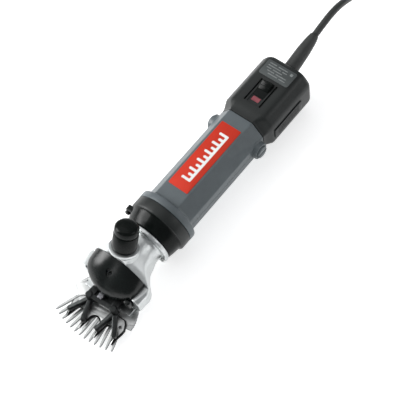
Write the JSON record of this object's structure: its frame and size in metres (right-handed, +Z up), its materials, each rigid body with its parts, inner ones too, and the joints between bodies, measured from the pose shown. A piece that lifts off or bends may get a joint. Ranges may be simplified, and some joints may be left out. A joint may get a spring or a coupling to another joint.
{
  "type": "electric sheep shears",
  "caption": "Hand-held electric sheep shears: octagonal motor body, rear cap with switch and cord, cast head with tension nut, swinging cutter over a comb.",
  "frame": {"origin": "on the ground, below the middle of the shears' length, cord left out; the shears lie level on the rim of the body's front flange and on the rear cap's flat underside", "axes": "+Y along the motor axis towards the cord, +Z up on the side of the switch and the tension nut, +X towards the side of the air filter cover"},
  "size_m": [0.0833, 0.8208, 0.0925],
  "materials": {
    "grey_housing": "satin moulded grey",
    "black_plastic": "fine textured black",
    "gloss_black": "polished black",
    "red_label": "printed film",
    "plate_metal": "dark anodised",
    "cast_aluminium": "satin casting",
    "cutter_steel": "ground and polished",
    "dark_steel": "blackened",
    "screw_steel": "zinc plated",
    "bearing_steel": "ground",
    "lamination_steel": "stacked sheet",
    "copper_wire": "enamelled",
    "brass_parts": "drawn",
    "carbon": "pressed carbon",
    "white_plastic": "moulded",
    "cord_rubber": "smooth"
  },
  "bodies": {
    "body": {"motor_housing": "grey_housing", "name_label": "red_label", "rear_cap": "black_plastic", "air_filter_cover": "black_plastic", "rating_plate": "plate_metal", "switch_body": "white_plastic", "switch_mark": "red_label", "cord_guard": "cord_rubber", "mains_cord": "cord_rubber", "cord_hank": "cord_rubber", "cord_tie": "black_plastic", "mains_cord_end": "cord_rubber", "plug_body": "black_plastic", "plug_pin_left": "brass_parts", "plug_pin_right": "brass_parts", "stator_core": "lamination_steel", "field_coil_top": "copper_wire", "field_coil_bottom": "copper_wire", "rear_bearing": "bearing_steel", "front_bearing": "bearing_steel", "crank_bearing_rear": "bearing_steel", "crank_bearing_front": "bearing_steel", "brush_left": "carbon", "brush_right": "carbon", "brush_holder_left": "brass_parts", "brush_holder_right": "brass_parts", "brush_spring_left": "screw_steel", "brush_spring_right": "screw_steel", "brush_cap_left": "black_plastic", "brush_cap_right": "black_plastic", "gear_housing": "black_plastic", "bearing_plate": "cast_aluminium", "clamp_screw": "screw_steel", "head_casting": "cast_aluminium", "head_screw_left": "screw_steel", "head_screw_right": "screw_steel", "tension_collar": "cast_aluminium", "head_cover": "gloss_black", "cover_screw": "screw_steel", "pivot_post": "bearing_steel", "comb": "cutter_steel", "comb_screw_left": "screw_steel", "comb_screw_right": "screw_steel"},
    "armature": {"armature_shaft": "bearing_steel", "armature_core": "lamination_steel", "armature_winding": "copper_wire", "commutator": "copper_wire", "cooling_fan": "white_plastic", "pinion": "bearing_steel"},
    "crank": {"crank_gear": "dark_steel", "crank_shaft": "bearing_steel", "crank_roller": "bearing_steel"},
    "fork_unit": {"fork": "dark_steel", "yoke_left": "dark_steel", "yoke_right": "dark_steel", "cutter": "cutter_steel"},
    "tension_rod": {"tension_pin": "bearing_steel"},
    "tension_nut": {"tension_knob": "gloss_black"},
    "switch": {"switch_slider": "black_plastic"}
  },
  "joints": [
    {"name": "armature_spin", "type": "hinge", "parent": "body", "child": "armature", "pos_m": [0, 0.026, 0.0337], "axis": [0, 1, 0], "range_deg": [-580, 140]},
    {"name": "crank_spin", "type": "hinge", "parent": "body", "child": "crank", "pos_m": [0, -0.054, 0.0187], "axis": [0, 1, 0], "range_deg": [-36, 146]},
    {"name": "fork_swing", "type": "hinge", "parent": "body", "child": "fork_unit", "pos_m": [0, -0.1, 0.0207], "axis": [0, 0, 1], "range_deg": [-12.5, 3.1]},
    {"name": "tension_travel", "type": "slide", "parent": "body", "child": "tension_rod", "axis": [0, 0.4274, 0.9041], "range_m": [0, 0.0025]},
    {"name": "tension_turn", "type": "hinge", "parent": "tension_rod", "child": "tension_nut", "pos_m": [0, -0.0885, 0.0627], "axis": [0, 0.4274, 0.9041], "range_deg": [0, 720]},
    {"name": "switch_slide", "type": "slide", "parent": "body", "child": "switch", "axis": [0, -1, 0], "range_m": [0, 0.01]}
  ],
  "couplings": [
    {"joint": "crank_spin", "follows": "armature_spin", "ratio": -0.25},
    {"joint": "fork_swing", "follows": "armature_spin", "ratio": 0.021389},
    {"joint": "tension_turn", "follows": "tension_travel", "rad_per_m": 5026.5}
  ]
}
